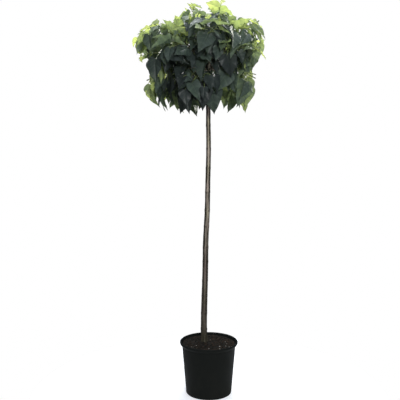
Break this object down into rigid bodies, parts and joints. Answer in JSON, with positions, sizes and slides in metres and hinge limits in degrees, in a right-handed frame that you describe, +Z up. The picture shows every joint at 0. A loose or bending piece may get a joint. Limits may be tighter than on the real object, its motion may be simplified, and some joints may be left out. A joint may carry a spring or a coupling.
{
  "type": "potted catalpa tree",
  "caption": "Young catalpa tree with a round leafy crown on a tall bare trunk, standing in a round black nursery pot.",
  "frame": {"origin": "centre of the pot's flat underside", "axes": "+Z up the trunk; the picture looks along +Y, so +X is its right"},
  "size_m": [0.7304, 0.72, 2.1768],
  "materials": {
    "pot": "satin black moulded plastic",
    "soil": "dark moist compost with bits of bark",
    "bark": "smooth grey-brown young bark",
    "foliage": "soft green leaves"
  },
  "bodies": {
    "root": {"pot": "pot", "soil": "soil", "trunk": "bark", "bough_crest_left": "bark", "bough_crest_right": "bark", "bough_crest_back": "bark", "bough_crest_front": "bark", "bough_upper_left": "bark", "bough_high_left": "bark", "bough_left": "bark", "bough_mid_left": "bark", "bough_high_right": "bark", "bough_right": "bark", "bough_front_left": "bark", "bough_front": "bark", "bough_front_right": "bark", "bough_back_left": "bark", "bough_back": "bark", "bough_back_right": "bark", "bough_low_left": "bark", "bough_low_front": "bark", "bough_low_right": "bark", "bough_low_back_right": "bark", "bough_low_back": "bark", "bough_low_back_left": "bark", "foliage_crest_left": "foliage", "foliage_crest_right": "foliage", "foliage_crest_back": "foliage", "foliage_crest_front": "foliage", "foliage_upper_left": "foliage", "foliage_high_left": "foliage", "foliage_left": "foliage", "foliage_mid_left": "foliage", "foliage_high_right": "foliage", "foliage_right": "foliage", "foliage_front_left": "foliage", "foliage_front": "foliage", "foliage_front_right": "foliage", "foliage_back_left": "foliage", "foliage_back": "foliage", "foliage_back_right": "foliage", "foliage_low_left": "foliage", "foliage_low_front": "foliage", "foliage_low_right": "foliage", "foliage_low_back_right": "foliage", "foliage_low_back": "foliage", "foliage_low_back_left": "foliage"}
  },
  "joints": []
}
